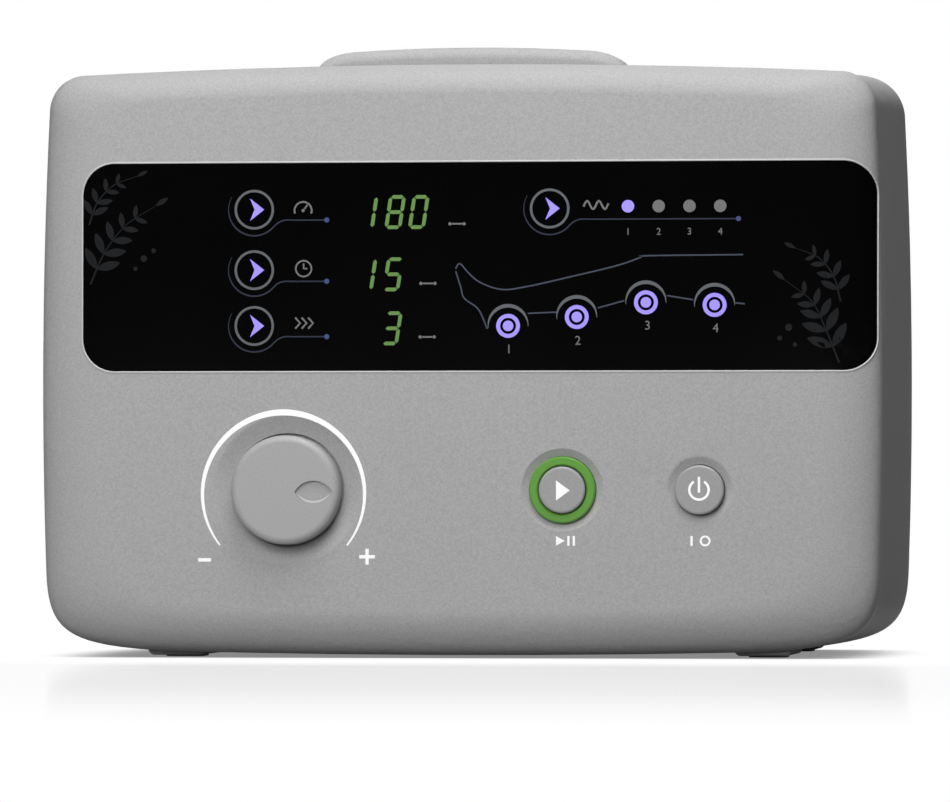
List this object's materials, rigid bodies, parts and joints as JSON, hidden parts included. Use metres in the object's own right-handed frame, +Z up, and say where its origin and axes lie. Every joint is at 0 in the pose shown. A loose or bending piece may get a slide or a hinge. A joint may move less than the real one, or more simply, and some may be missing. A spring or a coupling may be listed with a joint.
{
  "type": "compression therapy pump",
  "caption": "Table-top air pump for a compression sleeve: bulged silver casing, wide black display, turning knob, push buttons, top handle, hose sockets and fan behind.",
  "frame": {"origin": "on the table, under the centre of the bounding box", "axes": "+Z up, the control panel faces -Y, +X to the right as a user facing the panel sees it"},
  "size_m": [0.3192, 0.208, 0.2273],
  "materials": {
    "casing_silver": "fine-grained silver-grey paint on moulded plastic, satin",
    "lens_black": "gloss black acrylic, printed on its back",
    "tape_black": "black foam tape",
    "board_green": "solder-masked glass fibre board",
    "digit_grey": "moulded display case",
    "lamp_violet": "clear epoxy, lit violet",
    "pad_foam": "conductive foam",
    "knob_silver": "satin silver paint",
    "shaft_steel": "turned steel",
    "encoder_case": "folded steel case",
    "nut_plated": "nickel plate",
    "button_silver": "satin silver paint",
    "ring_green": "translucent green plastic, lit",
    "switch_black": "moulded plastic",
    "plunger_white": "moulded plastic",
    "rubber_black": "soft rubber",
    "screw_steel": "zinc plated steel",
    "cast_aluminium": "as cast",
    "core_steel": "laminated steel",
    "copper": "enamelled copper wire",
    "magnet": "nickel plated magnet",
    "diaphragm_rubber": "moulded rubber",
    "head_black": "glass-filled nylon",
    "pipe_grey": "silicone tube",
    "manifold_white": "machined acetal",
    "shelf_steel": "galvanised sheet",
    "port_black": "moulded plastic",
    "foam": "open-cell foam",
    "heat_sink": "extruded and anodised",
    "capacitor": "printed sleeve, blank",
    "inlet_black": "moulded plastic",
    "pin_brass": "nickel-plated brass",
    "fuse_glass": "glass tube with metal caps",
    "fan_black": "moulded plastic",
    "ribbon_grey": "flat cable"
  },
  "bodies": {
    "housing": {"front_casing": "casing_silver", "display_lens": "lens_black", "lens_tape": "tape_black", "display_board": "board_green", "pressure_digits": "digit_grey", "time_digits": "digit_grey", "speed_digit": "digit_grey", "mode_lamps": "lamp_violet", "channel_lamps": "lamp_violet", "touch_pads": "pad_foam", "control_board": "board_green", "encoder_body": "encoder_case", "encoder_nut": "nut_plated", "start_light_ring": "ring_green", "start_switch": "switch_black", "power_switch": "switch_black", "rear_casing": "casing_silver", "handle_well": "port_black", "handle": "casing_silver", "handle_screws": "screw_steel", "rear_cover": "casing_silver", "foot_pads": "rubber_black", "case_screws": "screw_steel", "rear_screws": "screw_steel", "pump_frame": "cast_aluminium", "pump_cores": "core_steel", "pump_coils": "copper", "pump_diaphragms": "diaphragm_rubber", "pump_heads": "head_black", "pump_mounts": "rubber_black", "air_pipes": "pipe_grey", "valve_manifold": "manifold_white", "solenoid_valves": "core_steel", "inner_shelf": "shelf_steel", "outlet_block": "port_black", "filter_cap": "port_black", "filter_foam": "foam", "main_board": "board_green", "board_screws": "screw_steel", "heat_sink": "heat_sink", "capacitors": "capacitor", "pressure_sensor": "switch_black", "transformer_core": "core_steel", "transformer_winding": "copper", "mains_inlet": "inlet_black", "inlet_pins": "pin_brass", "fan_frame": "fan_black", "ribbon_cable": "ribbon_grey"},
    "knob": {"knob": "knob_silver", "encoder_shaft": "shaft_steel"},
    "start_button": {"start_button": "button_silver", "start_plunger": "plunger_white"},
    "power_button": {"power_button": "button_silver", "power_plunger": "plunger_white"},
    "armature": {"pump_armature": "cast_aluminium", "armature_magnets": "magnet"},
    "fan_impeller": {"fan_impeller": "fan_black"},
    "fuse_drawer": {"fuse_drawer": "inlet_black", "fuse": "fuse_glass"}
  },
  "joints": [
    {"name": "knob_turn", "type": "hinge", "parent": "housing", "child": "knob", "pos_m": [-0.063, -0.097, 0.062], "axis": [0, 1, 0], "continuous": true},
    {"name": "start_press", "type": "slide", "parent": "housing", "child": "start_button", "axis": [0, 1, 0], "range_m": [0, 0.0012], "stiffness_N_per_m": 1500},
    {"name": "power_press", "type": "slide", "parent": "housing", "child": "power_button", "axis": [0, 1, 0], "range_m": [0, 0.0012], "stiffness_N_per_m": 1500},
    {"name": "armature_slide", "type": "slide", "parent": "housing", "child": "armature", "axis": [1, 0, 0], "range_m": [-0.0015, 0.0015], "stiffness_N_per_m": 6000},
    {"name": "fan_spin", "type": "hinge", "parent": "housing", "child": "fan_impeller", "pos_m": [0.098, 0.086, 0.062], "axis": [0, 1, 0], "continuous": true},
    {"name": "fuse_drawer_slide", "type": "slide", "parent": "housing", "child": "fuse_drawer", "axis": [0, 1, 0], "range_m": [0, 0.016]}
  ]
}
